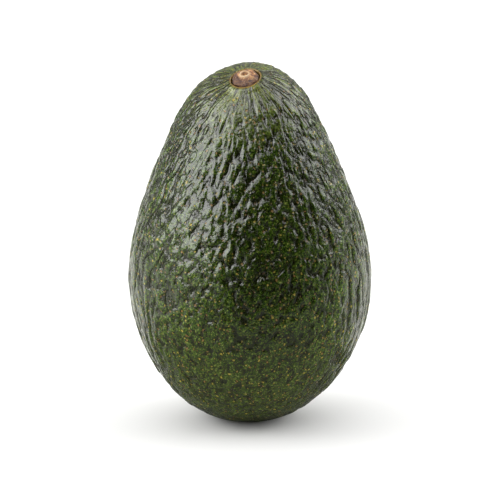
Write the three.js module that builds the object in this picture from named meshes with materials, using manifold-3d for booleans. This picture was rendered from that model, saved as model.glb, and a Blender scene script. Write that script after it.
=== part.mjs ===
// A whole avocado standing on its blossom end, in millimetres, +Z up. The origin is in the middle of the
// small flat spot it stands on. The front is -Y, and the neck leans towards it.
//
// Two pieces. The fruit is one solid, grown in one piece, with its skin raised in pebbles. The stem button
// is the corky stub of the stalk: it sits loose in a small socket near the top of the neck.

import * as THREE from "three";
import { mergeVertices } from "three/addons/utils/BufferGeometryUtils.js";
import { ConvexHull } from "three/addons/math/ConvexHull.js";
import Module from "manifold-3d";

const { degToRad, lerp, smoothstep } = THREE.MathUtils;
const wasm = await Module();
wasm.setup();

// ---- Driving dimensions ----

const HEIGHT = 100; // from the flat spot to the top of the neck
const GIRTH_RADIUS = 33.1; // of the ball that the profile is swelled from
const SWELL = [0.275, -0.154, -0.178, 0.253]; // times the 1st to 4th powers of the profile angle's cosine
const AXIS_SWAY = [5.0, -9.15, 0, 4.2]; // sideways run of the axis: times powers of the height's share
const NECK_LEAN = 3; // how far the top of the axis comes forwards
const FLAT_SINK = 0.85; // what the flat spot takes off the round blossom end
const LUMPS = { oval: 0.012, threefold: 0.01, fivefold: 0.006 }; // swells, as shares of the radius

const SCAR_TILT = degToRad(18); // profile angle between the top of the neck and the stem scar
const SCAR_AZIMUTH = degToRad(266);

const SOCKET_RADIUS = 4.2; // the hole in the fruit that the stem button sits in
const SOCKET_DEPTH = 2; // below the skin at the scar, as the other heights at the scar are measured
const COLLAR_RADIUS = 4.8; // the low rim of skin round the socket
const COLLAR_RISE = 0.1;
const COLLAR_SKIRT = 1.5; // how far the rim spreads outwards on its way down
const COLLAR_ROOT = 1.1; // depth of the rim's foot
const BUTTON_GAP = 0.3; // between the button and the socket, all round
const BUTTON_EDGE = 0.3; // height of the button's edge
const BUTTON_RISE = 1; // height of the button's middle
const BUTTON_LIP = 1.35; // radius of the raised ring in the button's middle, where the stalk broke off
const BUTTON_PIT = 0.45; // depth of the pit in that ring

const PEBBLES = 1820; // bumps over the whole skin
const PEBBLE_STRETCH = { belly: 1.1, neck: 1.9 }; // a bump's length down the fruit, over its width
const PEBBLE_SCATTER = 0.55; // how far a bump strays from an even spacing, as a share of that spacing
const PEBBLE_RISE = { end: 0.2, belly: 0.42, shoulder: 0.58 }; // height over the valleys round it
const SMOOTH_SKIN = { none: 6, full: 15 }; // bumps start and are full height this far from the scar
const SMOOTH_FLAT = 3; // bumps fade out over this height above the flat spot
const SEED = 11;

const GOLDEN_ANGLE = Math.PI * (3 - Math.sqrt(5));
const LATHE_AXIS = new THREE.Vector3(0, 1, 0);
const TURNED_SIDES = 36;

const skin = new THREE.MeshStandardMaterial({ color: 0x3a4a1e, roughness: 0.38, metalness: 0 });
const cork = new THREE.MeshStandardMaterial({ color: 0x91633c, roughness: 0.85, metalness: 0 });

// ---- The fruit's smooth form ----

// Sum of the factors times the 1st, 2nd, ... powers of x.
function powers(factors, x) {
  return factors.reduce((sum, factor, i) => sum + factor * x ** (i + 1), 0);
}

// Distance from the axis at a profile angle, which is 0 at the blossom end and PI at the top of the neck.
function profileRadius(angle) {
  return GIRTH_RADIUS * Math.sin(angle) * (1 + powers(SWELL, Math.cos(angle)));
}

function profileHeight(angle) {
  return ((HEIGHT + FLAT_SINK) / 2) * (1 - Math.cos(angle)) - FLAT_SINK;
}

// Broad swells and hollows, so that the fruit isn't a turned shape. None of them changes its width.
function lumps(angle, azimuth) {
  return (
    LUMPS.oval * Math.sin(2 * azimuth) * Math.sin(angle) +
    LUMPS.threefold * Math.sin(3 * azimuth) * Math.sin(2 * angle) +
    LUMPS.fivefold * Math.sin(5 * azimuth) * Math.sin(3 * angle)
  );
}

// The point whose direction from the fruit's middle, before the profile stretches it, is the one given.
function formPoint(direction) {
  const angle = Math.acos(THREE.MathUtils.clamp(-direction.z, -1, 1));
  const azimuth = Math.atan2(direction.y, direction.x);
  const radius = profileRadius(angle) * (1 + lumps(angle, azimuth));
  const z = profileHeight(angle);
  const share = z / HEIGHT;
  return new THREE.Vector3(
    radius * Math.cos(azimuth) + powers(AXIS_SWAY, share),
    radius * Math.sin(azimuth) - NECK_LEAN * share ** 2,
    z,
  );
}

// A point of the unit ball, at an angle from its lowest point.
function ballPoint(angle, azimuth) {
  const radius = Math.sin(angle);
  return new THREE.Vector3(radius * Math.cos(azimuth), radius * Math.sin(azimuth), -Math.cos(angle));
}

// The point at growth coordinates: the meridians run from the blossom end, where the angle is 0, up to the
// stem scar, where it is PI, because the ball of directions turns towards the scar, further the nearer it is.
function growthPoint(angle, azimuth) {
  const hinge = new THREE.Vector3(-Math.sin(SCAR_AZIMUTH), Math.cos(SCAR_AZIMUTH), 0);
  const turn = (SCAR_TILT * (1 - Math.cos(angle))) / 2;
  return formPoint(ballPoint(angle, azimuth).applyAxisAngle(hinge, turn));
}

// The stem scar: its place, and the way it faces, from three points of the form round the collar.
function findScar() {
  const near = Math.PI - COLLAR_RADIUS / (GIRTH_RADIUS * (1 + powers(SWELL, -1)));
  const [a, b, c] = [0, 1, 2].map((third) => growthPoint(near, (third * 2 * Math.PI) / 3));
  const facing = new THREE.Vector3().crossVectors(b.clone().sub(a), c.clone().sub(a)).normalize();
  return { place: growthPoint(Math.PI, 0), facing };
}

const scar = findScar();

// ---- The pebbles ----

// A repeatable stream of numbers from 0 to 1 (mulberry32).
function seededRandom(seed) {
  let state = seed;
  return () => {
    state = (state + 0x6d2b79f5) | 0;
    let n = Math.imul(state ^ (state >>> 15), 1 | state);
    n = (n + Math.imul(n ^ (n >>> 7), 61 | n)) ^ n;
    return ((n ^ (n >>> 14)) >>> 0) / 4294967296;
  };
}

// One meridian in small steps: the area of skin up to each step, and the step's place on a map on which each
// bump is as wide as it is long (Mercator's map, with the length divided by the bumps' stretch).
function meridianSteps(count) {
  const step = Math.PI / count;
  const rows = [];
  let area = 0;
  let mapHeight = 0;
  for (let i = 0; i < count; i++) {
    const angle = (i + 0.5) * step;
    const radius = profileRadius(angle);
    const run = Math.hypot(
      profileRadius(angle + step / 2) - profileRadius(angle - step / 2),
      profileHeight(angle + step / 2) - profileHeight(angle - step / 2),
    );
    const neckShare = smoothstep(profileHeight(angle), 0.3 * HEIGHT, 0.85 * HEIGHT);
    area += 2 * Math.PI * radius * run;
    mapHeight += run / radius / lerp(PEBBLE_STRETCH.belly, PEBBLE_STRETCH.neck, neckShare);
    rows.push({ angle, radius, area, mapHeight });
  }
  return rows;
}

// Pebble sites: a golden-angle spiral with an equal area of skin to each site, and each strays at random.
function pebbleSites() {
  const rows = meridianSteps(4000);
  const { area } = rows.at(-1);
  const middle = rows[rows.length / 2].mapHeight;
  const spacing = Math.sqrt(area / PEBBLES);
  const random = seededRandom(SEED);
  const stray = () => PEBBLE_SCATTER * (random() - 0.5);
  const sites = [];
  for (let i = 0; i < PEBBLES; i++) {
    const even = rows.find((row) => row.area >= (area * (i + 0.5)) / PEBBLES);
    const aroundRing = (2 * Math.PI * even.radius) / spacing;
    const strayed = (area * (i + 0.5 + stray() * aroundRing)) / PEBBLES;
    const row = rows.find((other) => other.area >= strayed) ?? even;
    const azimuth = i * GOLDEN_ANGLE + (stray() * spacing) / even.radius;
    const angleOnBall = 2 * Math.atan(Math.exp(row.mapHeight - middle));
    sites.push({ place: growthPoint(row.angle, azimuth), onBall: ballPoint(angleOnBall, azimuth) });
  }
  return sites;
}

// Triangles between neighbouring sites: the faces of the convex hull of the sites on a ball.
function neighbourTriangles(sites) {
  const numberOf = new Map(sites.map((site, i) => [site.onBall, i]));
  const hull = new ConvexHull().setFromPoints([...numberOf.keys()]);
  return hull.faces.map(({ edge }) =>
    [edge, edge.next, edge.prev].map((side) => numberOf.get(side.head().point)),
  );
}

// How far a bump stands over its valleys at a place on the skin.
function pebbleRise(place) {
  const up = place.z / HEIGHT;
  const low = lerp(PEBBLE_RISE.end, PEBBLE_RISE.belly, smoothstep(up, 0, 0.4));
  const rise = lerp(low, PEBBLE_RISE.shoulder, smoothstep(up, 0.4, 0.75));
  const clearOfScar = smoothstep(place.distanceTo(scar.place), SMOOTH_SKIN.none, SMOOTH_SKIN.full);
  return rise * clearOfScar * smoothstep(place.z, 0, SMOOTH_FLAT);
}

// A peak at each site and a valley in the middle of each triangle of sites. Between two neighbouring sites
// lie two faces, which meet along the line between the valleys on their two sides.
function pebbledSkin() {
  const sites = pebbleSites();
  const triangles = neighbourTriangles(sites);
  const random = seededRandom(SEED + 1);
  const points = sites.map((site) => site.place);
  const lifts = sites.map(() => 0.25 + 0.5 * random());
  const valleyLeftOf = new Map();
  for (const corners of triangles) {
    const [a, b, c] = corners.map((corner) => points[corner]);
    corners.forEach((from, i) => valleyLeftOf.set(`${from},${corners[(i + 1) % 3]}`, points.length));
    points.push(a.clone().add(b).add(c).divideScalar(3));
    lifts.push(-0.25 - 0.5 * random());
  }
  const faces = [];
  for (const [line, left] of valleyLeftOf) {
    const [from, to] = line.split(",").map(Number);
    faces.push(from, valleyLeftOf.get(`${to},${from}`), left);
  }
  const geometry = new THREE.BufferGeometry().setFromPoints(points);
  geometry.setIndex(faces);
  geometry.computeVertexNormals();
  const outward = new THREE.Vector3();
  points.forEach((point, i) => {
    outward.fromBufferAttribute(geometry.attributes.normal, i);
    point.addScaledVector(outward, pebbleRise(point) * lifts[i]);
  });
  return geometry.setFromPoints(points);
}

// ---- Round pieces set in the scar ----

// A turned shape from [radius, height] corners, with its axis the way the scar faces.
function turnedAtScar(corners) {
  const outline = corners.map(([radius, height]) => new THREE.Vector2(radius, height));
  return new THREE.LatheGeometry(outline, TURNED_SIDES)
    .applyQuaternion(new THREE.Quaternion().setFromUnitVectors(LATHE_AXIS, scar.facing))
    .translate(...scar.place);
}

// The low rim of skin round the socket, its root sunk in the fruit.
function collarGeometry() {
  return turnedAtScar([
    [0, -COLLAR_ROOT],
    [COLLAR_RADIUS + COLLAR_SKIRT, -COLLAR_ROOT],
    [COLLAR_RADIUS, COLLAR_RISE],
    [0, COLLAR_RISE],
  ]);
}

function socketGeometry() {
  return turnedAtScar([
    [0, -SOCKET_DEPTH],
    [SOCKET_RADIUS, -SOCKET_DEPTH],
    [SOCKET_RADIUS, SOCKET_DEPTH],
    [0, SOCKET_DEPTH],
  ]);
}

// The button: a low cork dome with a rounded edge, and a raised ring and a pit in its middle.
function buttonGeometry() {
  const radius = SOCKET_RADIUS - BUTTON_GAP;
  const foot = BUTTON_GAP - SOCKET_DEPTH;
  return turnedAtScar([
    [0, foot],
    [0.9 * radius, foot],
    [radius, 0.5 * foot],
    [radius, BUTTON_EDGE],
    [0.9 * radius, lerp(BUTTON_EDGE, BUTTON_RISE, 0.4)],
    [1.7 * BUTTON_LIP, lerp(BUTTON_EDGE, BUTTON_RISE, 0.6)],
    [BUTTON_LIP, BUTTON_RISE],
    [0.7 * BUTTON_LIP, BUTTON_RISE],
    [0, BUTTON_RISE - BUTTON_PIT],
  ]);
}

// ---- Joining and cutting ----

function solidOf(geometry) {
  const bare = geometry.clone();
  bare.deleteAttribute("normal");
  bare.deleteAttribute("uv");
  const { attributes, index } = mergeVertices(bare, 1e-4);
  const vertProperties = new Float32Array(attributes.position.array);
  const triVerts = new Uint32Array(index.array);
  return new wasm.Manifold(new wasm.Mesh({ numProp: 3, vertProperties, triVerts }));
}

function geometryOf(solid) {
  const { vertProperties, triVerts } = solid.getMesh();
  const geometry = new THREE.BufferGeometry();
  geometry.setAttribute("position", new THREE.BufferAttribute(vertProperties, 3));
  geometry.setIndex(new THREE.BufferAttribute(triVerts, 1));
  geometry.computeVertexNormals();
  return geometry;
}

// The fruit: the pebbled skin and the collar, less the socket and what lies below the flat spot.
function fruitGeometry() {
  const belowFlat = new THREE.BoxGeometry(HEIGHT, HEIGHT, HEIGHT).translate(0, 0, -HEIGHT / 2);
  return geometryOf(
    solidOf(pebbledSkin())
      .add(solidOf(collarGeometry()))
      .subtract(solidOf(socketGeometry()))
      .subtract(solidOf(belowFlat)),
  );
}

// ---- The avocado ----

function namedMesh(name, geometry, material) {
  const mesh = new THREE.Mesh(geometry, material);
  mesh.name = name;
  return mesh;
}

const avocado = new THREE.Group();
avocado.add(namedMesh("fruit", fruitGeometry(), skin));
avocado.add(namedMesh("stem_button", buttonGeometry(), cork));

export default avocado;
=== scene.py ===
import math

import bpy
import numpy as np
from mathutils import Euler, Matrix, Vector


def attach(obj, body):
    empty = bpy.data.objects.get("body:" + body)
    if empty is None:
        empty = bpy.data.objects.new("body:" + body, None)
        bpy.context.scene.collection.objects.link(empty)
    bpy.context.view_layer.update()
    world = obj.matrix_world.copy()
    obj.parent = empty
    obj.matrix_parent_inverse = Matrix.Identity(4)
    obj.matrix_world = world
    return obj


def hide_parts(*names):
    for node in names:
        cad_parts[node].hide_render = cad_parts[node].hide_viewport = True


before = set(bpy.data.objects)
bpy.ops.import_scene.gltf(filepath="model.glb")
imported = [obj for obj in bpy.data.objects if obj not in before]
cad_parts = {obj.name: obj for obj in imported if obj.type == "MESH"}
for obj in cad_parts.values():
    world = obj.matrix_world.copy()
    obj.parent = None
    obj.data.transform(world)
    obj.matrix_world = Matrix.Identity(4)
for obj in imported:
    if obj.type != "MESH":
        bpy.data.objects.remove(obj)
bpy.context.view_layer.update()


# ---- Camera ----
# A long lens a little above the fruit, square to its front, with the whole fruit near the middle of the
# frame.

TARGET = Vector((0, 0, 0.047))
CAMERA_ELEVATION = math.radians(12)
CAMERA_DISTANCE = 0.520
LENS_MM = 133.6
FRAME_SHIFT = (0.0038, 0.0069)


def aim(thing, place, target):
    """Stands a light or the camera at a place, looking at the target, with its top up."""
    thing.location = place
    thing.rotation_euler = (target - place).to_track_quat("-Z", "Y").to_euler()


def direction(azimuth, elevation):
    """The unit vector at an azimuth, in radians from the fruit's front (-Y) towards +X, and an elevation."""
    level = math.cos(elevation)
    return Vector((math.sin(azimuth) * level, -math.cos(azimuth) * level, math.sin(elevation)))


lens = bpy.data.cameras.new("camera")
lens.lens = LENS_MM
lens.shift_x, lens.shift_y = FRAME_SHIFT
camera = bpy.data.objects.new("camera", lens)
bpy.context.scene.collection.objects.link(camera)
aim(camera, TARGET + CAMERA_DISTANCE * direction(0, CAMERA_ELEVATION), TARGET)
bpy.context.scene.camera = camera


# ---- Studio ----
# A white table in a white tent that is bright at both sides, dimmer behind and dark at the camera's side.
# The gloss of the skin shows a dimmer tent, soft panels at the left, above and at the right, and cards on
# the table.

TABLE_REACH = 7.0
TABLE_ALBEDO = "#EDEDEC"
MATT_TENT = {"front": 0.0, "left": 4.6, "right": 5.0, "back": 2.4, "roof": 1.2,
             "front_edge": (-0.1, -0.5), "back_edge": (0.2, 0.6), "roof_edge": (0.5, 0.8)}
GLOSS_TENT = {"front": 0.0, "left": 0.1, "right": 0.2, "back": 0.36, "roof": 0.35,
              "front_edge": (-0.1, -0.5), "back_edge": (0.2, 0.45), "roof_edge": (0.7, 0.95)}
MIDDLE_EDGE = (-0.1, 0.1)
BACKDROP = 1.05
PANEL_DISTANCE = 0.9
SOFTBOX = {"azimuth": -67, "elevation": 31, "size": (0.98, 0.68), "radiance": 6.9}
SOFTBOX_CORE = {"azimuth": -67, "elevation": 31, "size": (0.62, 0.44), "radiance": 3.8}
TOP_PANEL = {"azimuth": -27, "elevation": 60, "size": (0.90, 0.42), "radiance": 4.4}
SIDE_PANEL = {"azimuth": 106, "elevation": 38, "size": (0.84, 0.68), "radiance": 3.9}
SPILL = {"azimuth": -57, "elevation": 24, "size": (1.25, 0.76), "radiance": 1.1}
PALE_CARD = {"extent": (-1.4, 1.4, -1.4, 1.4), "height": 0.0002, "colour": "#E8E8E4"}
GREY_CARD = {"extent": (-0.12, 1.4, -1.4, 0.02), "height": 0.0005, "colour": "#8A8A8A"}
BLACK_CARD = {"extent": (-0.20, 1.4, -1.4, -0.105), "height": 0.001, "colour": "#0A0A0A"}


def linear(code):
    """Linear red, green, blue and alpha of an sRGB hex colour."""
    values = [int(code[i : i + 2], 16) / 255 for i in (1, 3, 5)]
    return [v / 12.92 if v <= 0.04045 else ((v + 0.055) / 1.055) ** 2.4 for v in values] + [1.0]


def add(tree, kind, links=None, **settings):
    """Adds a shader node. Settings name its properties or, where it has none of that name, its inputs by
    name or number; links gives the sockets that feed its inputs. A MapRange has the range that it
    reads at 1 and 2 and the one that it gives at 3 and 4, and a colour Mix goes from 6 to 7."""
    node = tree.nodes.new("ShaderNode" + kind)
    for name, value in settings.items():
        if hasattr(node, name):
            setattr(node, name, value)
        else:
            key = int(name[1:]) if name[0] == "_" else name.replace("_", " ")
            node.inputs[key].default_value = value
    for key, source in (links or {}).items():
        tree.links.new(source, node.inputs[key])
    return node


def matt_paint(name, colour):
    """Matt painted board: one even colour with no gloss, which takes a soft shadow."""
    paint = bpy.data.materials.new("matt_" + name)
    paint.use_nodes = True
    shader = paint.node_tree.nodes["Principled BSDF"]
    shader.inputs["Base Color"].default_value = linear(colour)
    shader.inputs["Roughness"].default_value = 1.0
    shader.inputs["Specular IOR Level"].default_value = 0.0
    return paint


def tent_light(tree, front, left, right, back, roof, front_edge, back_edge, roof_edge):
    """Light from all round, each side and the roof with its own brightness. An edge gives the direction's
    share along the axis at which one side begins to give way to the next, and at which it has."""
    around = add(tree, "SeparateXYZ", {0: add(tree, "TexCoord").outputs["Generated"]})
    side = add(tree, "MapRange", {0: around.outputs["X"]}, interpolation_type="SMOOTHSTEP",
               _1=MIDDLE_EDGE[0], _2=MIDDLE_EDGE[1], _3=left, _4=right).outputs[0]
    for axis, edge, brightness in (("Y", back_edge, back), ("Y", front_edge, front), ("Z", roof_edge, roof)):
        share = add(tree, "MapRange", {0: around.outputs[axis]}, interpolation_type="SMOOTHSTEP",
                    _1=edge[0], _2=edge[1])
        side = add(tree, "Mix", {0: share.outputs[0], 2: side}, data_type="FLOAT", _3=brightness).outputs[0]
    return add(tree, "Background", {"Strength": side}, Color=linear("#FFFFFF")).outputs[0]


def light_tent():
    """The tent as matt surfaces, the gloss of the skin and the camera each see it, the last as plain
    white."""
    tent = bpy.data.worlds.new("light_tent")
    tent.use_nodes = True
    tree = tent.node_tree
    tree.nodes.clear()
    ray = add(tree, "LightPath")
    lit = add(tree, "MixShader", {0: ray.outputs["Is Glossy Ray"], 1: tent_light(tree, **MATT_TENT),
                                  2: tent_light(tree, **GLOSS_TENT)})
    seen = add(tree, "Background", Color=linear("#FFFFFF"), Strength=BACKDROP)
    both = add(tree, "MixShader", {0: ray.outputs["Is Camera Ray"], 1: lit.outputs[0], 2: seen.outputs[0]})
    add(tree, "OutputWorld", {0: both.outputs[0]})
    return tent


def panel(name, shows_in, azimuth, elevation, size, radiance):
    """A rectangular light panel that faces the fruit, at angles in degrees. It shows in the gloss of the
    skin or lights the matt surfaces. Its power is its brightness times its area times pi."""
    width, height = size
    lamp = bpy.data.lights.new(name, "AREA")
    lamp.shape = "RECTANGLE"
    lamp.size, lamp.size_y = width, height
    lamp.energy = radiance * math.pi * width * height
    light = bpy.data.objects.new(name, lamp)
    bpy.context.scene.collection.objects.link(light)
    aim(light, TARGET + PANEL_DISTANCE * direction(math.radians(azimuth), math.radians(elevation)), TARGET)
    light.visible_camera = False
    light.visible_glossy = shows_in == "gloss"
    light.visible_diffuse = shows_in == "matt"


def board(name, extent, height, colour):
    """A flat painted board, one rectangle from left to right and near to far at a height, all in metres."""
    left, right, near, far = extent
    corners = [(left, near, height), (right, near, height), (right, far, height), (left, far, height)]
    mesh = bpy.data.meshes.new(name)
    mesh.from_pydata(corners, [], [(0, 1, 2, 3)])
    mesh.materials.append(matt_paint(name, colour))
    flat = bpy.data.objects.new(name, mesh)
    bpy.context.scene.collection.objects.link(flat)
    return flat


def table():
    """The table top, at the height that the fruit rests on."""
    top = board("table", (-TABLE_REACH, TABLE_REACH, -TABLE_REACH, TABLE_REACH), 0, TABLE_ALBEDO)


def card(name, extent, height, colour):
    """A card that lies on the table to set how bright the table is in the reflections of the glossy skin.
    It shows in reflections alone."""
    laid = board(name, extent, height, colour)
    laid.visible_camera = False
    laid.visible_diffuse = False
    laid.visible_shadow = False
    laid.visible_transmission = False


bpy.context.scene.world = light_tent()
bpy.context.scene.view_settings.view_transform = "Standard"
panel("softbox", "gloss", **SOFTBOX)
panel("softbox_core", "gloss", **SOFTBOX_CORE)
panel("top_panel", "gloss", **TOP_PANEL)
panel("side_panel", "gloss", **SIDE_PANEL)
panel("spill", "matt", **SPILL)
table()
card("pale_card", **PALE_CARD)
card("grey_card", **GREY_CARD)
card("black_card", **BLACK_CARD)


# ---- Fruit ----
# One fruit of a pebbly, dark-skinned avocado, rind and flesh grown in one piece. The rind is a tough,
# waxy skin with cork pores, raised in pebbles in front and behind and in ridges that fan out down its
# flanks. Sizes are in mm.

MM = 0.001
HEIGHT = 100.0
GIRTH_RADIUS = 33.1
SWELL = (0.275, -0.154, -0.178, 0.253)
AXIS_SWAY = (5.0, -9.15, 0.0, 4.2)
NECK_LEAN = 3.0
FLAT_SINK = 0.85
LUMPS = (0.012, 0.010, 0.006)
SCAR_TILT = math.radians(18)
SCAR_AZIMUTH = math.radians(266)
SCAR_COCK = 0.17
SCAR_COCK_REACH = 7.0
SCAR_COCK_KEPT = 0.8
CROWN_RISE = 1.02
CROWN_PLACE = (3.1, 3.0)
CROWN_SPREAD = (10.8, 8.5)
CROWN_START = (80, 95)
COLLAR_RISE = 0.5
COLLAR_EDGE = (6.2, 4.7)
SOCKET_RADIUS = 3.85
SOCKET_DEPTH = 2.0
SOCKET_WALL = np.linspace(0.15, 1, 5)
SOCKET_FLOOR = np.array([0.9, 0.6, 0.3])

AROUND = 448
SKIN_ROWS = 208
MERIDIAN_STEPS = 4000
BLOSSOM_GAP = 0.3

GRAIN_TURNS = [np.array(Euler(turn).to_matrix()) for turn in ((0.6, 0.9, 0.3), (2.1, 0.4, 1.7))]


def powers(factors, x):
    """Sum of the factors times the 1st, 2nd, ... powers of x."""
    return sum(factor * x ** (i + 1) for i, factor in enumerate(factors))


def smooth(start, end, x):
    """0 up to the start, 1 past the end, and an S-shaped cubic between them, whichever of the two is
    larger."""
    t = np.clip((x - start) / (end - start), 0, 1)
    return t * t * (3 - 2 * t)


def fruit_form(toward):
    """The smooth fruit, in mm: the point of a ball in each direction, with its radius swelled by powers
    of the height's cosine, then lumped, and its axis swayed and leant by powers of the height."""
    angle = np.arccos(np.clip(-toward[..., 2], -1, 1))
    azimuth = np.arctan2(toward[..., 1], toward[..., 0])
    oval, threefold, fivefold = LUMPS
    lumps = (
        oval * np.sin(2 * azimuth) * np.sin(angle)
        + threefold * np.sin(3 * azimuth) * np.sin(2 * angle)
        + fivefold * np.sin(5 * azimuth) * np.sin(3 * angle)
    )
    radius = GIRTH_RADIUS * np.sin(angle) * (1 + powers(SWELL, np.cos(angle))) * (1 + lumps)
    z = (HEIGHT + FLAT_SINK) / 2 * (1 - np.cos(angle)) - FLAT_SINK
    share = z / HEIGHT
    x = radius * np.cos(azimuth) + powers(AXIS_SWAY, share)
    y = radius * np.sin(azimuth) - NECK_LEAN * share**2
    return np.stack([x, y, z], -1)


def growth_form(angle, azimuth):
    """The smooth fruit at growth coordinates, whose meridians run from the blossom end (angle 0) to the
    stem scar (angle pi): the ball is turned towards the scar, by more the larger the angle."""
    angle, azimuth = np.broadcast_arrays(angle, azimuth)
    turn = SCAR_TILT * (1 - np.cos(angle)) / 2
    ball = np.stack([np.sin(angle) * np.cos(azimuth), np.sin(angle) * np.sin(azimuth), -np.cos(angle)], -1)
    hinge = np.array([-math.sin(SCAR_AZIMUTH), math.cos(SCAR_AZIMUTH), 0.0])
    c, s = np.cos(turn)[..., None], np.sin(turn)[..., None]
    along = (ball @ hinge)[..., None] * hinge
    return fruit_form(ball * c + np.cross(hinge, ball) * s + along * (1 - c))


SCAR_MIDDLE = growth_form(np.array([math.pi]), np.array([0.0]))[0]


def cell_random(cells, salt):
    """A number from 0 to 1 that belongs to each whole-number cell: its coordinates hashed with the salt."""
    x, y, z = np.moveaxis(cells.astype(np.int64), -1, 0)
    n = (x * 73856093 ^ y * 19349663 ^ z * 83492791 ^ salt * 2654435761) & 0xFFFFFFFF
    n = ((n ^ (n >> 16)) * 0x7FEB352D) & 0xFFFFFFFF
    n = ((n ^ (n >> 15)) * 0x846CA68B) & 0xFFFFFFFF
    return (n ^ (n >> 16)) / 2.0**32


def clouds(points, salt):
    """Smooth noise from -1 to 1: the random values of a point's eight surrounding cells, blended by
    S-curves."""
    base = np.floor(points)
    t = points - base
    t = t * t * (3 - 2 * t)
    total = 0
    for corner in np.ndindex(2, 2, 2):
        weight = np.prod(np.where(corner, t, 1 - t), -1)
        total = total + weight * cell_random(base + corner, salt)
    return 2 * total - 1


def grain(points, salt):
    """Smooth noise, about -1 to 1, that shows no lattice: two fields of clouds, each turned its own way."""
    return sum(clouds(points @ turn + 9.7, salt + 1000 * k) for k, turn in enumerate(GRAIN_TURNS))


def creases(field, width):
    """Winding creases: 1 along the lines where a field changes sign, falling away to 0 on both sides."""
    return np.exp(-((field / width) ** 2))


DOME_EDGE = 9.0
DOME_INSET = 0.12


def cobbles(points, salt):
    """Close-set domes, one in each cell: minus the square of the distance to the nearest dome's middle,
    in cell widths, with the meeting lines of the domes softened."""
    cells = np.floor(points)
    spread = 1 - 2 * DOME_INSET
    total = 0
    for step in np.ndindex(3, 3, 3):
        cell = cells + step - 1
        middle = cell + np.stack([DOME_INSET + spread * cell_random(cell, salt + k) for k in range(3)], -1)
        total = total + np.exp(-DOME_EDGE * ((points - middle) ** 2).sum(-1))
    return np.log(total) / DOME_EDGE


RIDGE_RING_RADIUS = 14.0


def growth_map(ring_radius, from_scar):
    """The skin laid out in growth units, of 1.9 mm near the scar and 1.7 mm at the blossom end: for each
    distance from the scar, the radius of its ring and how far along the meridian it lies. The ring
    stays wide near the scar, so that what grows there is narrow, and the meridian's length counts for
    less there, which draws it out."""
    unit = np.interp(from_scar, [0, 20, 60, 90, 125], [1.9, 1.9, 1.9, 1.8, 1.7])
    stretch = np.interp(from_scar, [0, 12, 30, 60, 90, 125], [3.0, 2.6, 2.2, 1.7, 1.4, 1.2])
    ring = (ring_radius**4 + RIDGE_RING_RADIUS**4) ** 0.25 / unit
    run = np.cumsum(np.abs(np.gradient(from_scar)) / stretch / unit)
    return ring, run


# Heights and depths are in mm. PEBBLES, NICKS, WAVES and RIDGES say how many fit in one growth unit,
# round the fruit and along it: a pebble is about 1.4 mm wide and 3 mm long, and a ridge 1.3 mm wide and
# 20 mm long. PEBBLY and RIDGY give the share of each relief at the distances from the scar in
# RELIEF_STOPS.

PEBBLE_HEIGHT = 0.75
PEBBLE_LEVEL = 0.25
PEBBLES = (1.4, 1.4, 1.15)
PIT_EDGE = (-0.2, -0.5)
NICK_DEPTH = 0.05
NICK_WIDTH = 0.25
NICKS = 2.2
WAVE_HEIGHT = 0.14
WAVES = (1.7, 1.7, 0.7)
CREST_HEIGHT = 0.12
FURROW_DEPTH = 0.28
FURROW_WIDTH = 0.35
RIDGES = (1.5, 1.5, 0.17)
RIDGE_FAN = -0.5
FAN_START = (8, 60)
WAVER = 0.3
RIDGE_WAVER = 0.35
FLANK_EDGE = (0.2, 0.7)
PEBBLES_LOST = 0.85
WAVES_LOST = 0.65
FLAT_EDGE = (0.0, 3.0)
RELIEF_STOPS = [0, 5.0, 8.0, 20, 50, 75, 90, 105, 112, 125]
PEBBLY = [0, 0, 0.3, 0.9, 1, 1, 0.7, 0.5, 0.4, 0]
RIDGY = [0, 0, 0.55, 0.95, 1, 1, 1, 0.9, 0.8, 0]


def skin_relief(where, from_scar, height):
    """How far the skin stands off the smooth fruit, in mm, how deep in a groove each point is, from 0 to
    1, and the fields that the rind's finish reads. In front and behind there are close-set domes with
    pits between them, on a grid turned so that its rows don't show, and fine nicks across. On the
    flanks there are ridges, drawn out along the growth, which fans out there: their furrows lie where
    smooth noise changes sign. Low waves run under both, and all of it dies away by the collar, at the
    blossom end and on the flat spot."""
    waver = np.stack([WAVER * grain(where * 0.8, 20 + k) for k in range(3)], -1)
    bent = where + waver
    x, y = where[..., 0], where[..., 1]
    sideways = x / np.hypot(x, y)
    flank = smooth(*FLANK_EDGE, sideways**2 + 0.3 * grain(where * 0.3, 9))
    turn = RIDGE_FAN * smooth(*FAN_START, from_scar) * sideways
    c, s = np.cos(turn), np.sin(turn)
    fanned = np.stack([x * c - y * s, x * s + y * c, where[..., 2]], -1)

    pit_field = cobbles(bent * PEBBLES @ GRAIN_TURNS[0], 3)
    ridge_field = grain((fanned + RIDGE_WAVER * waver) * RIDGES, 1)
    pits = smooth(*PIT_EDGE, pit_field)
    furrows = creases(ridge_field, FURROW_WIDTH)
    nicks = creases(grain(bent * NICKS, 2), NICK_WIDTH) * smooth(-0.4, 0.4, grain(where * 0.9, 10))
    wave_field = grain(bent * WAVES, 41)

    domes = PEBBLE_HEIGHT * (pit_field + PEBBLE_LEVEL) * (1 - PEBBLES_LOST * flank) - NICK_DEPTH * nicks
    ridges = flank * (CREST_HEIGHT * ridge_field - FURROW_DEPTH * furrows)
    waves = WAVE_HEIGHT * wave_field * (1 - WAVES_LOST * flank) + ridges
    pebbly = np.interp(from_scar, RELIEF_STOPS, PEBBLY)
    ridgy = np.interp(from_scar, RELIEF_STOPS, RIDGY)
    relief = smooth(*FLAT_EDGE, height) * (pebbly * domes + ridgy * waves)
    groove = np.maximum(np.maximum(furrows * flank, nicks), pits)
    return relief, groove, np.stack([pit_field, ridge_field, flank], -1)


def collar_lift(from_scar):
    """Height in mm of the low collar of skin round the socket."""
    return COLLAR_RISE * smooth(*COLLAR_EDGE, from_scar)


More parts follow.
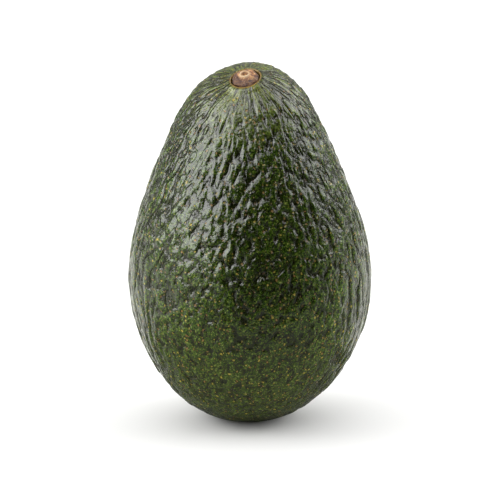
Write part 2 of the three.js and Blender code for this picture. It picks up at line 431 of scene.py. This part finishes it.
def crown_lift(points):
    """Height in mm that the top of the neck gains: a low bump behind the scar, and the scar itself
    cocked, higher towards +X. Both die away down the neck."""
    across = (points[..., 0] - CROWN_PLACE[0]) / CROWN_SPREAD[0]
    behind = (points[..., 1] - CROWN_PLACE[1]) / CROWN_SPREAD[1]
    crown = CROWN_RISE * np.exp(-(across**2) - behind**2)
    from_middle = points - SCAR_MIDDLE
    nearness = np.exp(-((np.linalg.norm(from_middle, axis=-1) / SCAR_COCK_REACH) ** 2))
    cocked = SCAR_COCK * from_middle[..., 0] * nearness
    return (crown + cocked) * smooth(*CROWN_START, points[..., 2])


def outward(points):
    """Unit normals of a ring-by-ring grid: the cross product of its steps down and round."""
    around = np.roll(points, -1, 1) - np.roll(points, 1, 1)
    down = np.gradient(points, axis=0)
    normal = np.cross(down, around)
    return normal / np.linalg.norm(normal, axis=-1, keepdims=True)


def fruit_rings():
    """Rings of skin points from the blossom end up to the edge of the socket, evenly spaced along the
    meridian that runs square to the scar's tilt, and for each point its place in growth units, its
    groove depth, its relief fields and its distance from the scar."""
    fine = np.linspace(math.pi, 0.0, MERIDIAN_STEPS + 1)
    meridian = growth_form(fine, np.full_like(fine, SCAR_AZIMUTH + math.pi / 2))
    length = np.concatenate([[0], np.cumsum(np.linalg.norm(np.diff(meridian, axis=0), axis=1))])
    from_scar = np.linspace(SOCKET_RADIUS, length[-1] - BLOSSOM_GAP, SKIN_ROWS)
    azimuth = np.linspace(0, 2 * math.pi, AROUND, endpoint=False)
    form = growth_form(np.interp(from_scar, length, fine)[:, None], azimuth[None, :])
    ring_radius = np.linalg.norm(form - form.mean(1, keepdims=True), axis=-1).mean(1)
    ring, run = growth_map(ring_radius, from_scar)
    level = np.ones_like(azimuth)
    across, ahead = np.outer(ring, np.cos(azimuth)), np.outer(ring, np.sin(azimuth))
    where = np.stack([across, ahead, np.outer(run, level)], -1)
    scar_distance = np.outer(from_scar, level)
    relief, groove, fields = skin_relief(where, scar_distance, form[..., 2])
    skin = form + (relief + collar_lift(scar_distance))[..., None] * outward(form)
    skin[..., 2] = np.maximum(skin[..., 2] + crown_lift(form), 0)
    return skin[::-1], where[::-1], groove[::-1], fields[::-1], scar_distance[::-1]


def closed_mesh(name, rings, marks):
    """A closed skin over rings of points in mm, from the first to the last, each end closed by a fan
    round its middle. Marks are named values, one to a point, that the material reads."""
    rows, columns = rings.shape[:2]
    ends = np.stack([rings[0].mean(0), rings[-1].mean(0)])
    points = np.concatenate([rings.reshape(-1, 3), ends]) * MM
    here = np.arange(rows * columns).reshape(rows, columns)
    beside = np.roll(here, -1, 1)
    quads = np.stack([here[:-1], beside[:-1], beside[1:], here[1:]], -1).reshape(-1, 4)
    first, last = rows * columns, rows * columns + 1
    low_fan = np.stack([np.full(columns, first), beside[0], here[0]], -1)
    high_fan = np.stack([np.full(columns, last), here[-1], beside[-1]], -1)
    mesh = bpy.data.meshes.new(name)
    mesh.from_pydata(points.tolist(), [], quads.tolist() + low_fan.tolist() + high_fan.tolist())
    mesh.polygons.foreach_set("use_smooth", np.ones(len(mesh.polygons), bool))
    for mark, values in marks.items():
        width = 1 if values.ndim == 2 else 3
        flat = values.reshape(rows * columns, width)
        low_end, high_end = flat[:columns].mean(0, keepdims=True), flat[-columns:].mean(0, keepdims=True)
        flat = np.concatenate([flat, low_end, high_end])
        layer = mesh.attributes.new(mark, "FLOAT" if width == 1 else "FLOAT_VECTOR", "POINT")
        layer.data.foreach_set("value" if width == 1 else "vector", flat.ravel().astype(np.float32))
    mesh.update()
    return mesh


def scar_frame():
    """Where the scar's middle is, in mm, and three unit directions: two across it and the way that it
    faces, which is square to four points close round it and leans away from its cocked side."""
    close = math.pi - 0.05
    round_it = growth_form(np.full(4, close), np.linspace(0, 2 * math.pi, 4, endpoint=False))
    facing = np.cross(round_it[0] - round_it[2], round_it[1] - round_it[3])
    facing = facing / np.linalg.norm(facing) - (SCAR_COCK * SCAR_COCK_KEPT, 0.0, 0.0)
    facing = facing / np.linalg.norm(facing)
    across = np.cross(facing, [0.0, 1.0, 0.0])
    across = across / np.linalg.norm(across)
    return SCAR_MIDDLE, across, np.cross(facing, across), facing


def fruit_mesh():
    """The skin's rings, then the socket's: its wall, at shares of the depth, straight in against the way
    the scar faces, and its floor, at shares of the radius. The socket carries the marks of the skin at
    its edge."""
    skin, where, groove, fields, scar_distance = fruit_rings()
    rim = skin[-1]
    middle = rim.mean(0)
    facing = scar_frame()[3]
    depth = np.concatenate([SOCKET_WALL, np.ones_like(SOCKET_FLOOR)]) * SOCKET_DEPTH
    shrink = np.concatenate([np.ones_like(SOCKET_WALL), SOCKET_FLOOR])
    socket = middle + (rim - middle) * shrink[:, None, None] - facing * depth[:, None, None]
    rings = np.concatenate([skin, socket])
    marks = {"growth": where, "groove": groove, "fields": fields, "from_scar": scar_distance}
    for mark, values in marks.items():
        marks[mark] = np.concatenate([values, np.repeat(values[-1:], len(socket), 0)])
    return closed_mesh("fruit_rind", rings, marks)


# Colours and patterns of the rind. A pattern's scale is per mm, so 1.7 gives speckles about 0.6 mm
# across. Distances from the scar are in mm along the skin, and the low skin is what lies past LOW_FROM.

LOW_FROM = 65.0
LOW_TO = 100.0
# The next three place a patch of painted shade high on the fruit's front: its middle in mm, how its height is
# squashed, and the distances in mm over which it fades out.
FRONT_SHADE_MIDDLE = (7.0, -33.0, 66.0)
FRONT_SHADE_SQUAT = (1.0, 1.0, 0.5)
FRONT_SHADE_EDGE = (10.0, 28.0)
PORES = (
    {"per_mm": 0.88, "reach": 0.35, "young": "#A0901E", "old": "#86641C", "age": 0.5},
    {"per_mm": 1.4, "reach": 0.19, "young": "#828A26", "old": "#7A6C1E", "age": 0.6},
)


def rind_green(tree, place, growth, from_scar, wobble):
    """Colour of clean skin: five greens from dark to pale, in speckles about 0.6 mm across. Low on the
    fruit one dull green calms them, small patches are browned, and the neck has pale streaks along its
    growth, about 0.7 mm wide and 5 mm long."""
    mottle = add(tree, "TexNoise", {0: place}, Scale=1.7, Detail=4.0, Roughness=0.8)
    level = add(tree, "MapRange", {0: mottle.outputs["Fac"]}, _1=0.36, _2=0.65)
    greens = add(tree, "ValToRGB", {0: level.outputs[0]})
    stops = greens.color_ramp.elements
    for share, code in ((0.35, "#1D3208"), (0.6, "#334A10"), (0.8, "#556922")):
        stops.new(share).color = linear(code)
    stops[0].color = linear("#071000")
    stops[-1].color = linear("#848C4A")

    calm = add(tree, "MapRange", {0: from_scar}, _1=LOW_FROM, _2=LOW_TO, _3=0.0, _4=0.45).outputs[0]
    skin = greens.outputs[0]
    skin = add(tree, "Mix", {0: calm, 6: skin}, data_type="RGBA", _7=linear("#363A16")).outputs[2]
    browned = add(tree, "MapRange", {0: wobble.outputs["Fac"]}, _1=0.5, _2=0.68, _3=0.0, _4=0.28).outputs[0]
    skin = add(tree, "Mix", {0: browned, 6: skin}, data_type="RGBA", _7=linear("#3A3014")).outputs[2]

    drawn_out = add(tree, "Mapping", {0: growth}, Scale=(2.6, 2.6, 0.9)).outputs[0]
    streaks = add(tree, "TexNoise", {0: drawn_out}, Scale=1.0, Detail=3.0, Roughness=0.65)
    streak = add(tree, "MapRange", {0: streaks.outputs["Fac"]}, _1=0.45, _2=0.62, _3=0.15, _4=0.95).outputs[0]
    neck = add(tree, "MapRange", {0: from_scar}, _1=4.8, _2=22.0, _3=0.7, _4=0.0).outputs[0]
    streaked = add(tree, "Math", {0: neck, 1: streak}, operation="MULTIPLY").outputs[0]
    return add(tree, "Mix", {0: streaked, 6: skin}, data_type="RGBA", _7=linear("#888C48")).outputs[2]


def cork_pores(tree, place, from_scar, wobble, skin):
    """Cork pores on the skin: its new colour, the share of cork, and the height in mm of the shallow dips
    that they sit in. A Voronoi pattern, set askew by noise, has one pore in each cell. Cells of 1.1 mm
    have pores up to 0.8 mm across, and cells of 0.7 mm have pores up to 0.3 mm across. Chance sets a
    pore's size, from a fifth up, and whether its middle is yellow or, on an old one, rusty. Its rim is
    dark, and low on the fruit the pores are fainter."""
    plenty = add(tree, "MapRange", {0: from_scar}, _1=LOW_FROM, _2=LOW_TO, _3=0.85, _4=0.6).outputs[0]
    askew = add(tree, "VectorMath", {0: wobble.outputs["Color"], 2: place}, operation="MULTIPLY_ADD",
                _1=(0.8, 0.8, 0.8)).outputs[0]
    shares, dips = [], []
    for pore in PORES:
        reach = pore["reach"]
        cells = add(tree, "TexVoronoi", {0: askew}, Scale=pore["per_mm"])
        chance = add(tree, "SeparateColor", {0: cells.outputs["Color"]})
        edge = add(tree, "MapRange", {0: chance.outputs[0]}, _3=0.2 * reach, _4=reach).outputs[0]
        inside = add(tree, "Math", {0: edge, 1: cells.outputs["Distance"]}, operation="SUBTRACT").outputs[0]
        rim = add(tree, "MapRange", {0: inside}, _1=-0.6 * reach, _2=0.0, _3=0.0, _4=0.55).outputs[0]
        skin = add(tree, "Mix", {0: rim, 6: skin}, data_type="RGBA", _7=linear("#2A1E08")).outputs[2]
        rust = add(tree, "MapRange", {0: chance.outputs[1]}, _1=pore["age"], _2=pore["age"] + 0.1).outputs[0]
        cork = add(tree, "Mix", {0: rust}, data_type="RGBA", _6=linear(pore["young"]), _7=linear(pore["old"]))
        share = add(tree, "MapRange", {0: inside, 4: plenty}, _1=0.0, _2=0.3 * reach, _3=0.0).outputs[0]
        skin = add(tree, "Mix", {0: share, 6: skin, 7: cork.outputs[2]}, data_type="RGBA").outputs[2]
        shares.append(share)
        dips.append(add(tree, "MapRange", {0: cells.outputs["Distance"]}, interpolation_type="SMOOTHSTEP",
                        _1=0.0, _2=1.6 * reach, _3=-0.2 * reach / pore["per_mm"], _4=0.0).outputs[0])
    corky = add(tree, "Math", {0: shares[1], 1: shares[0]}, operation="MAXIMUM").outputs[0]
    return skin, corky, dips


def rind_height(tree, place, from_scar, dips):
    """Height in mm of what is too fine for the mesh: the pits cut a little deeper, a sharp crease down
    the middle of each furrow, a crinkle of grains about 0.6 mm across, and the dips of the pores."""
    fields = add(tree, "Attribute", attribute_name="fields").outputs["Vector"]
    fields = add(tree, "SeparateXYZ", {0: fields})
    pit = add(tree, "MapRange", {0: fields.outputs[0]}, interpolation_type="SMOOTHSTEP",
              _1=-0.55, _2=-0.3, _3=-0.08, _4=0.0).outputs[0]
    pitted = add(tree, "MapRange", {0: from_scar}, _1=75.0, _2=105.0, _3=1.0, _4=0.3).outputs[0]
    pit = add(tree, "Math", {0: pit, 1: pitted}, operation="MULTIPLY").outputs[0]
    ridge_side = add(tree, "Math", {0: fields.outputs[1]}, operation="ABSOLUTE").outputs[0]
    crease = add(tree, "MapRange", {0: ridge_side}, interpolation_type="SMOOTHSTEP",
                 _1=0.0, _2=0.24, _3=-0.2, _4=0.0).outputs[0]
    height = add(tree, "Math", {0: crease, 1: fields.outputs[2], 2: pit}, operation="MULTIPLY_ADD").outputs[0]
    crinkle = add(tree, "TexNoise", {0: place}, Scale=1.6, Detail=3.0, Roughness=0.6)
    height = add(tree, "Math", {0: crinkle.outputs["Fac"], 2: height}, operation="MULTIPLY_ADD",
                 _1=0.06).outputs[0]
    for dip in dips:
        height = add(tree, "Math", {0: height, 1: dip}, operation="ADD").outputs[0]
    return height


def rind_finish():
    """Avocado rind, as grown: a coat of wax over deep green skin, closely speckled and dotted with cork
    pores.
    The wax gives each dome a clear highlight, the grooves are painted dark brown, partly the skin's own
    brown and partly painted shade, and the pores are dull."""
    finish = bpy.data.materials.new("waxed_rind")
    finish.use_nodes = True
    tree = finish.node_tree
    shader = tree.nodes["Principled BSDF"]
    place = add(tree, "TexCoord").outputs["Object"]
    place = add(tree, "Mapping", {0: place}, Scale=(1 / MM, 1 / MM, 1 / MM)).outputs[0]
    growth = add(tree, "Attribute", attribute_name="growth").outputs["Vector"]
    from_scar = add(tree, "Attribute", attribute_name="from_scar").outputs["Fac"]
    groove = add(tree, "Attribute", attribute_name="groove").outputs["Fac"]
    # Low on the fruit the grooves' brown tint and painted shade are weaker.
    shallower = add(tree, "MapRange", {0: from_scar}, _1=LOW_FROM, _2=LOW_TO, _3=1.0, _4=0.75).outputs[0]
    groove = add(tree, "Math", {0: groove, 1: shallower}, operation="MULTIPLY").outputs[0]
    wobble = add(tree, "TexNoise", {0: place}, Scale=1.6, Detail=1.0)

    skin = rind_green(tree, place, growth, from_scar, wobble)
    # Grooves are mixed towards dark brown: partly a brown tint of the skin, partly painted shade.
    groove_brown_and_shade = add(tree, "MapRange", {0: groove}, _1=0.2, _2=1.0, _3=0.0, _4=0.5).outputs[0]
    skin = add(tree, "Mix", {0: groove_brown_and_shade, 6: skin}, data_type="RGBA", _7=linear("#26220A")).outputs[2]
    skin, corky, dips = cork_pores(tree, place, from_scar, wobble, skin)

    # Painted shade: grooves are painted darker than crests, and a patch high on the front, twice as tall as
    # it is wide, is painted darker than the rest, where the front faces the dark side of the tent. The collar
    # is pale and corky.
    shade = add(tree, "MapRange", {0: groove}, _3=1.25, _4=0.36).outputs[0]
    squat = add(tree, "Mapping", {0: place}, Scale=FRONT_SHADE_SQUAT).outputs[0]
    middle = [size * share for size, share in zip(FRONT_SHADE_MIDDLE, FRONT_SHADE_SQUAT)]
    from_front_shade = add(tree, "VectorMath", {0: squat}, operation="DISTANCE", _1=middle).outputs["Value"]
    front_shade = add(tree, "MapRange", {0: from_front_shade}, interpolation_type="SMOOTHSTEP",
               _1=FRONT_SHADE_EDGE[0], _2=FRONT_SHADE_EDGE[1], _3=0.46, _4=1.0).outputs[0]
    shade = add(tree, "Math", {0: shade, 1: front_shade}, operation="MULTIPLY").outputs[0]
    skin = add(tree, "VectorMath", {0: skin, "Scale": shade}, operation="SCALE").outputs[0]
    collar = add(tree, "MapRange", {0: from_scar}, _1=4.0, _2=4.35, _3=0.85, _4=0.0).outputs[0]
    skin = add(tree, "Mix", {0: collar, 6: skin}, data_type="RGBA", _7=linear("#A8884A")).outputs[2]
    tree.links.new(skin, shader.inputs["Base Color"])

    height = rind_height(tree, place, from_scar, dips)
    bump = add(tree, "Bump", {"Height": height}, Strength=1.0, Distance=MM)
    tree.links.new(bump.outputs[0], shader.inputs["Normal"])
    gloss = add(tree, "MapRange", {0: corky}, _3=0.14, _4=0.45)
    tree.links.new(gloss.outputs[0], shader.inputs["Roughness"])
    shader.inputs["IOR"].default_value = 1.5
    return finish


def fruit():
    """The fruit in its rind, with the socket that the stem button stands in."""
    mesh = fruit_mesh()
    mesh.materials.append(rind_finish())
    piece = bpy.data.objects.new("fruit_rind", mesh)
    bpy.context.scene.collection.objects.link(piece)
    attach(piece, "root")
    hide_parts("fruit")


fruit()


# ---- Stem button ----
# The corky stub that the stalk leaves in the fruit when it is picked. It has dried and shrunk away from
# its socket, and its low dome has a raised lip and a small pit where the stalk's core broke off. Sizes
# are in mm.

BUTTON_AROUND = 240
BUTTON_ROWS = 120
BUTTON_PROFILE = np.array([
    (0.2, -1.7), (3.0, -1.7), (3.5, -1.2), (3.6, -0.5), (3.5, 0.0), (3.1, 0.3), (2.3, 0.65),
    (1.7, 0.95), (1.4, 1.4), (1.15, 1.5), (0.9, 1.4), (0.65, 0.7), (0.4, 0.45), (0.1, 0.4),
])
PROFILE_STEPS = 600
PROFILE_BLUR = 23
FOOT_EDGE = (-1.0, -0.5)
LUMPS_PER_MM = 0.5
CRUST_PER_MM = 1.3
CRACKS_PER_MM = 0.9
CRACK_WIDTH = 0.15
BUTTON_SLIP = 0.1
BUTTON_RISE = 0.3
# LIP_RADIUS, LIP_WIDTH and the SKIRT values mark, in mm, the lip that is painted pale as a highlight and the
# skirt that is painted dark as shade, which leans to one side.
LIP_RADIUS = 1.2
LIP_WIDTH = 0.35
SKIRT_EDGE = (1.9, 3.2)
SKIRT_LEAN = 0.8
SKIRT_TURN = 0.6


def button_mesh():
    """Rings round the way the scar faces, from the foot to the pit, along a profile of radius and height
    in mm that is drawn through its knots and smoothed, then roughened by noise and cracked by creases.
    It marks the lip, which the cork paints pale as a highlight, and the skirt, broader on one side, which it
    paints dark as shade."""
    along = np.concatenate([[0], np.cumsum(np.linalg.norm(np.diff(BUTTON_PROFILE, axis=0), axis=1))])
    fine = np.linspace(0, along[-1], PROFILE_STEPS)
    blur = np.hanning(PROFILE_BLUR) / np.hanning(PROFILE_BLUR).sum()
    radius, rise = [
        np.convolve(np.pad(np.interp(fine, along, knots), PROFILE_BLUR // 2, "edge"), blur, "valid")
        for knots in BUTTON_PROFILE.T
    ]
    rows = np.linspace(0, along[-1], BUTTON_ROWS)
    azimuth = np.linspace(0, 2 * math.pi, BUTTON_AROUND, endpoint=False)
    level = np.ones_like(azimuth)
    radius = np.interp(rows, fine, radius)
    rise = np.outer(np.interp(rows, fine, rise), level)
    spot = np.stack([np.outer(radius, np.cos(azimuth)), np.outer(radius, np.sin(azimuth)), rise], -1)
    cracks = creases(grain(spot * CRACKS_PER_MM, 72), CRACK_WIDTH)
    rough = 0.12 * grain(spot * LUMPS_PER_MM, 73) + 0.07 * grain(spot * CRUST_PER_MM, 71) - 0.12 * cracks
    above_foot = smooth(*FOOT_EDGE, spot[..., 2])
    spot = spot + (rough * above_foot)[..., None] * outward(spot[::-1])[::-1]
    middle, across, up, facing = scar_frame()
    middle = middle - BUTTON_SLIP * up + BUTTON_RISE * facing
    rings = middle + spot[..., :1] * across + spot[..., 1:2] * up + spot[..., 2:] * facing
    radius = np.outer(radius, level)
    lip = np.exp(-(((radius - LIP_RADIUS) / LIP_WIDTH) ** 2)) * (spot[..., 2] > 0)
    skirt = smooth(*SKIRT_EDGE, radius + SKIRT_LEAN * np.sin(azimuth + SKIRT_TURN))
    return closed_mesh("stem_button_cork", rings, {"lip": lip, "skirt": skirt})


def cork_finish():
    """Dry cork of the stalk's stub, as it healed: a dull crust of purple-brown to cream patches about 0.9
    mm across. Its grains are finer, but are drawn 0.4 mm across so that they show. The skirt is painted
    dark as shade and the lip painted pale as a highlight."""
    finish = bpy.data.materials.new("dry_cork")
    finish.use_nodes = True
    tree = finish.node_tree
    shader = tree.nodes["Principled BSDF"]
    place = add(tree, "TexCoord").outputs["Object"]
    place = add(tree, "Mapping", {0: place}, Scale=(1 / MM, 1 / MM, 1 / MM)).outputs[0]
    mottle = add(tree, "TexNoise", {0: place}, Scale=1.1, Detail=4.0, Roughness=0.7)
    level = add(tree, "MapRange", {0: mottle.outputs["Fac"]}, _1=0.32, _2=0.68)
    browns = add(tree, "ValToRGB", {0: level.outputs[0]})
    stops = browns.color_ramp.elements
    for share, code in ((0.3, "#6A4230"), (0.55, "#AA6E38"), (0.8, "#CC9656")):
        stops.new(share).color = linear(code)
    stops[0].color = linear("#2E1A18")
    stops[-1].color = linear("#E4C494")
    skirt = add(tree, "Attribute", attribute_name="skirt").outputs["Fac"]
    # Painted shade: the skirt is mixed towards dark purple-brown.
    dark = add(tree, "MapRange", {0: skirt}, _3=0.0, _4=0.7).outputs[0]
    cork = browns.outputs[0]
    cork = add(tree, "Mix", {0: dark, 6: cork}, data_type="RGBA", _7=linear("#3A2422")).outputs[2]
    # Painted highlight: the lip is mixed towards pale cream.
    lip = add(tree, "Attribute", attribute_name="lip").outputs["Fac"]
    pale = add(tree, "MapRange", {0: lip}, _3=0.0, _4=0.8).outputs[0]
    cork = add(tree, "Mix", {0: pale, 6: cork}, data_type="RGBA", _7=linear("#E2C69A")).outputs[2]
    tree.links.new(cork, shader.inputs["Base Color"])
    crust = add(tree, "TexNoise", {0: place}, Scale=2.4, Detail=3.0, Roughness=0.7)
    bump = add(tree, "Bump", {"Height": crust.outputs["Fac"]}, Strength=1.0, Distance=0.45 * MM)
    tree.links.new(bump.outputs[0], shader.inputs["Normal"])
    shader.inputs["Roughness"].default_value = 0.45
    return finish


def stem_button():
    """The stem button, which stands in the fruit's socket."""
    mesh = button_mesh()
    mesh.materials.append(cork_finish())
    piece = bpy.data.objects.new("stem_button_cork", mesh)
    bpy.context.scene.collection.objects.link(piece)
    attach(piece, "root")
    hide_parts("stem_button")


stem_button()
